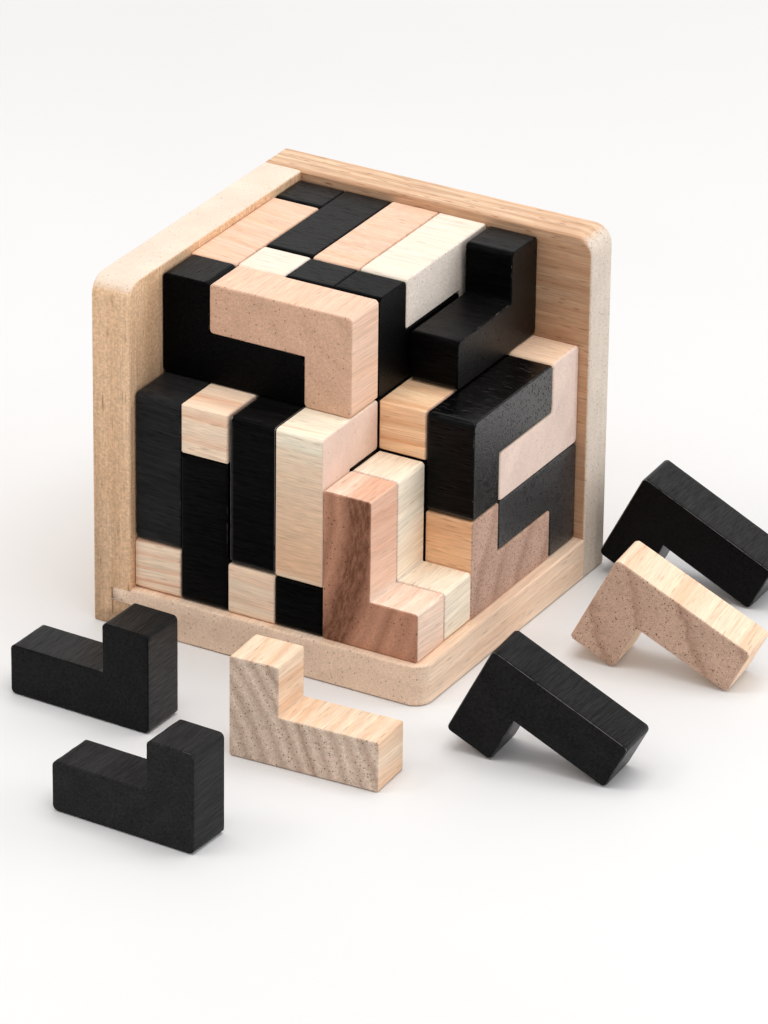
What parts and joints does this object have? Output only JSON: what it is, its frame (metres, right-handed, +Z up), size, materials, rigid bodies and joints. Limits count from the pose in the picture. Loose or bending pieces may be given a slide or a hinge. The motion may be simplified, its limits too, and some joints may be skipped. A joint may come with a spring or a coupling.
{
  "type": "l-block cube packing puzzle",
  "caption": "Cube packing puzzle: a three-board wooden corner tray stacked with L-shaped black and natural wooden blocks, some lying loose.",
  "frame": {"origin": "middle of the tray's underside", "axes": "+Z up, +X to the right along the open front, +Y towards the back board"},
  "size_m": [0.135, 0.1983, 0.0773],
  "materials": {
    "tray_wood": "satin",
    "natural_wood": "satin",
    "pale_wood": "satin",
    "brown_wood": "satin",
    "black_stained_wood": "satin"
  },
  "bodies": {
    "tray": {"base_board": "tray_wood", "left_board": "tray_wood", "back_board": "tray_wood"},
    "black_block_A": {"black_block_A": "black_stained_wood"},
    "black_block_B": {"black_block_B": "black_stained_wood"},
    "black_block_C": {"black_block_C": "black_stained_wood"},
    "black_block_D": {"black_block_D": "black_stained_wood"},
    "black_block_E": {"black_block_E": "black_stained_wood"},
    "black_block_F": {"black_block_F": "black_stained_wood"},
    "black_block_G": {"black_block_G": "black_stained_wood"},
    "black_block_H": {"black_block_H": "black_stained_wood"},
    "black_block_I": {"black_block_I": "black_stained_wood"},
    "black_block_J": {"black_block_J": "black_stained_wood"},
    "black_block_K": {"black_block_K": "black_stained_wood"},
    "black_block_L": {"black_block_L": "black_stained_wood"},
    "black_block_M": {"black_block_M": "black_stained_wood"},
    "black_block_N": {"black_block_N": "black_stained_wood"},
    "black_block_O": {"black_block_O": "black_stained_wood"},
    "black_block_P": {"black_block_P": "black_stained_wood"},
    "black_block_Q": {"black_block_Q": "black_stained_wood"},
    "black_block_R": {"black_block_R": "black_stained_wood"},
    "black_block_S": {"black_block_S": "black_stained_wood"},
    "black_block_T": {"black_block_T": "black_stained_wood"},
    "black_block_U": {"black_block_U": "black_stained_wood"},
    "black_block_V": {"black_block_V": "black_stained_wood"},
    "natural_block_a": {"natural_block_a": "natural_wood"},
    "natural_block_b": {"natural_block_b": "natural_wood"},
    "natural_block_c": {"natural_block_c": "brown_wood"},
    "natural_block_d": {"natural_block_d": "pale_wood"},
    "natural_block_e": {"natural_block_e": "natural_wood"},
    "natural_block_f": {"natural_block_f": "natural_wood"},
    "natural_block_g": {"natural_block_g": "natural_wood"},
    "natural_block_h": {"natural_block_h": "natural_wood"},
    "natural_block_i": {"natural_block_i": "natural_wood"},
    "natural_block_j": {"natural_block_j": "natural_wood"},
    "natural_block_k": {"natural_block_k": "natural_wood"},
    "natural_block_l": {"natural_block_l": "natural_wood"},
    "natural_block_m": {"natural_block_m": "natural_wood"},
    "natural_block_n": {"natural_block_n": "natural_wood"},
    "natural_block_o": {"natural_block_o": "natural_wood"},
    "natural_block_p": {"natural_block_p": "natural_wood"},
    "natural_block_q": {"natural_block_q": "natural_wood"},
    "natural_block_r": {"natural_block_r": "natural_wood"},
    "natural_block_s": {"natural_block_s": "pale_wood"},
    "natural_block_t": {"natural_block_t": "natural_wood"},
    "natural_block_u": {"natural_block_u": "natural_wood"},
    "natural_block_v": {"natural_block_v": "natural_wood"},
    "natural_block_w": {"natural_block_w": "pale_wood"},
    "loose_black_1": {"loose_black_1": "black_stained_wood"},
    "loose_black_2": {"loose_black_2": "black_stained_wood"},
    "loose_natural_1": {"loose_natural_1": "natural_wood"},
    "loose_black_3": {"loose_black_3": "black_stained_wood"},
    "loose_natural_2": {"loose_natural_2": "natural_wood"},
    "loose_black_4": {"loose_black_4": "black_stained_wood"},
    "loose_black_5": {"loose_black_5": "black_stained_wood"},
    "loose_natural_3": {"loose_natural_3": "natural_wood"},
    "loose_natural_4": {"loose_natural_4": "natural_wood"}
  },
  "joints": [
    {"name": "black_block_A_pull", "type": "slide", "parent": "tray", "child": "black_block_A", "axis": [0, -1, 0], "range_m": [0, 0.026]},
    {"name": "black_block_C_pull", "type": "slide", "parent": "tray", "child": "black_block_C", "axis": [0, 0, 1], "range_m": [0, 0.072]},
    {"name": "black_block_F_pull", "type": "slide", "parent": "tray", "child": "black_block_F", "axis": [0, 0, 1], "range_m": [0, 0.072]},
    {"name": "black_block_G_pull", "type": "slide", "parent": "tray", "child": "black_block_G", "axis": [0, 0, 1], "range_m": [0, 0.072]},
    {"name": "black_block_H_pull", "type": "slide", "parent": "tray", "child": "black_block_H", "axis": [1, 0, 0], "range_m": [0, 0.015]},
    {"name": "black_block_O_pull", "type": "slide", "parent": "tray", "child": "black_block_O", "axis": [1, 0, 0], "range_m": [0, 0.016]},
    {"name": "natural_block_a_pull", "type": "slide", "parent": "tray", "child": "natural_block_a", "axis": [0, -1, 0], "range_m": [0, 0.026]},
    {"name": "natural_block_b_pull", "type": "slide", "parent": "tray", "child": "natural_block_b", "axis": [0, -1, 0], "range_m": [0, 0.026]},
    {"name": "natural_block_c_pull", "type": "slide", "parent": "tray", "child": "natural_block_c", "axis": [0, -1, 0], "range_m": [0, 0.016]},
    {"name": "natural_block_d_pull", "type": "slide", "parent": "tray", "child": "natural_block_d", "axis": [1, 0, 0], "range_m": [0, 0.027]},
    {"name": "natural_block_f_pull", "type": "slide", "parent": "tray", "child": "natural_block_f", "axis": [0, -1, 0], "range_m": [0, 0.049]},
    {"name": "natural_block_g_pull", "type": "slide", "parent": "tray", "child": "natural_block_g", "axis": [1, 0, 0], "range_m": [0, 0.015]},
    {"name": "natural_block_h_pull", "type": "slide", "parent": "tray", "child": "natural_block_h", "axis": [0, 0, 1], "range_m": [0, 0.072]},
    {"name": "natural_block_i_pull", "type": "slide", "parent": "tray", "child": "natural_block_i", "axis": [0, 0, 1], "range_m": [0, 0.072]},
    {"name": "natural_block_l_pull", "type": "slide", "parent": "tray", "child": "natural_block_l", "axis": [0, 0, 1], "range_m": [0, 0.06]},
    {"name": "natural_block_q_pull", "type": "slide", "parent": "tray", "child": "natural_block_q", "axis": [1, 0, 0], "range_m": [0, 0.016]},
    {"name": "black_block_E_pull", "type": "slide", "parent": "black_block_G", "child": "black_block_E", "axis": [0, 0, 1], "range_m": [0, 0.072]},
    {"name": "black_block_I_pull", "type": "slide", "parent": "natural_block_a", "child": "black_block_I", "axis": [0, -1, 0], "range_m": [0, 0.027]},
    {"name": "black_block_J_pull", "type": "slide", "parent": "natural_block_b", "child": "black_block_J", "axis": [0, -1, 0], "range_m": [0, 0.027]},
    {"name": "black_block_K_pull", "type": "slide", "parent": "natural_block_f", "child": "black_block_K", "axis": [0, -1, 0], "range_m": [0, 0.049]},
    {"name": "black_block_M_pull", "type": "slide", "parent": "natural_block_i", "child": "black_block_M", "axis": [0, 0, 1], "range_m": [0, 0.06]},
    {"name": "black_block_S_pull", "type": "slide", "parent": "natural_block_l", "child": "black_block_S", "axis": [0, -1, 0], "range_m": [0, 0.027]},
    {"name": "natural_block_e_pull", "type": "slide", "parent": "black_block_F", "child": "natural_block_e", "axis": [0, 0, 1], "range_m": [0, 0.072]},
    {"name": "natural_block_j_pull", "type": "slide", "parent": "black_block_C", "child": "natural_block_j", "axis": [0, 0, 1], "range_m": [0, 0.072]},
    {"name": "natural_block_o_pull", "type": "slide", "parent": "natural_block_h", "child": "natural_block_o", "axis": [0, 0, 1], "range_m": [0, 0.06]},
    {"name": "natural_block_t_pull", "type": "slide", "parent": "natural_block_l", "child": "natural_block_t", "axis": [1, 0, 0], "range_m": [0, 0.06]},
    {"name": "black_block_B_pull", "type": "slide", "parent": "black_block_K", "child": "black_block_B", "axis": [0, -1, 0], "range_m": [0, 0.027]},
    {"name": "black_block_D_pull", "type": "slide", "parent": "natural_block_o", "child": "black_block_D", "axis": [0, 0, 1], "range_m": [0, 0.072]},
    {"name": "black_block_R_pull", "type": "slide", "parent": "natural_block_j", "child": "black_block_R", "axis": [0, 0, 1], "range_m": [0, 0.038]},
    {"name": "black_block_T_pull", "type": "slide", "parent": "black_block_M", "child": "black_block_T", "axis": [0, 0, 1], "range_m": [0, 0.027]},
    {"name": "natural_block_n_pull", "type": "slide", "parent": "black_block_E", "child": "natural_block_n", "axis": [0, 0, 1], "range_m": [0, 0.06]},
    {"name": "natural_block_s_pull", "type": "slide", "parent": "natural_block_e", "child": "natural_block_s", "axis": [0, 0, 1], "range_m": [0, 0.038]},
    {"name": "black_block_L_pull", "type": "slide", "parent": "natural_block_s", "child": "black_block_L", "axis": [0, 0, 1], "range_m": [0, 0.06]},
    {"name": "black_block_Q_pull", "type": "slide", "parent": "black_block_D", "child": "black_block_Q", "axis": [0, 0, 1], "range_m": [0, 0.038]},
    {"name": "natural_block_k_pull", "type": "slide", "parent": "black_block_B", "child": "natural_block_k", "axis": [0, -1, 0], "range_m": [0, 0.027]},
    {"name": "natural_block_m_pull", "type": "slide", "parent": "black_block_R", "child": "natural_block_m", "axis": [0, 0, 1], "range_m": [0, 0.06]},
    {"name": "natural_block_p_pull", "type": "slide", "parent": "natural_block_n", "child": "natural_block_p", "axis": [0, 0, 1], "range_m": [0, 0.06]},
    {"name": "natural_block_w_pull", "type": "slide", "parent": "black_block_T", "child": "natural_block_w", "axis": [0, 0, 1], "range_m": [0, 0.027]},
    {"name": "black_block_N_pull", "type": "slide", "parent": "natural_block_m", "child": "black_block_N", "axis": [0, 0, 1], "range_m": [0, 0.049]},
    {"name": "black_block_P_pull", "type": "slide", "parent": "black_block_Q", "child": "black_block_P", "axis": [0, 0, 1], "range_m": [0, 0.049]},
    {"name": "black_block_U_pull", "type": "slide", "parent": "natural_block_p", "child": "black_block_U", "axis": [1, 0, 0], "range_m": [0, 0.027]},
    {"name": "natural_block_r_pull", "type": "slide", "parent": "black_block_L", "child": "natural_block_r", "axis": [0, 0, 1], "range_m": [0, 0.049]},
    {"name": "black_block_V_pull", "type": "slide", "parent": "natural_block_r", "child": "black_block_V", "axis": [0, 0, 1], "range_m": [0, 0.027]},
    {"name": "natural_block_u_pull", "type": "slide", "parent": "black_block_N", "child": "natural_block_u", "axis": [0, 0, 1], "range_m": [0, 0.027]},
    {"name": "natural_block_v_pull", "type": "slide", "parent": "black_block_P", "child": "natural_block_v", "axis": [0, 0, 1], "range_m": [0, 0.027]},
    {"name": "loose_black_1_lift", "type": "slide", "parent": "tray", "child": "loose_black_1", "axis": [0, 0, 1], "range_m": [0, 0.06]},
    {"name": "loose_black_2_lift", "type": "slide", "parent": "tray", "child": "loose_black_2", "axis": [0, 0, 1], "range_m": [0, 0.06]},
    {"name": "loose_natural_1_lift", "type": "slide", "parent": "tray", "child": "loose_natural_1", "axis": [0, 0, 1], "range_m": [0, 0.06]},
    {"name": "loose_black_3_lift", "type": "slide", "parent": "tray", "child": "loose_black_3", "axis": [0, 0, 1], "range_m": [0, 0.06]},
    {"name": "loose_natural_2_lift", "type": "slide", "parent": "tray", "child": "loose_natural_2", "axis": [0, 0, 1], "range_m": [0, 0.06]},
    {"name": "loose_black_4_lift", "type": "slide", "parent": "tray", "child": "loose_black_4", "axis": [0, 0, 1], "range_m": [0, 0.06]},
    {"name": "loose_black_5_lift", "type": "slide", "parent": "tray", "child": "loose_black_5", "axis": [0, 0, 1], "range_m": [0, 0.06]},
    {"name": "loose_natural_3_lift", "type": "slide", "parent": "tray", "child": "loose_natural_3", "axis": [0, 0, 1], "range_m": [0, 0.06]},
    {"name": "loose_natural_4_lift", "type": "slide", "parent": "tray", "child": "loose_natural_4", "axis": [0, 0, 1], "range_m": [0, 0.06]}
  ]
}
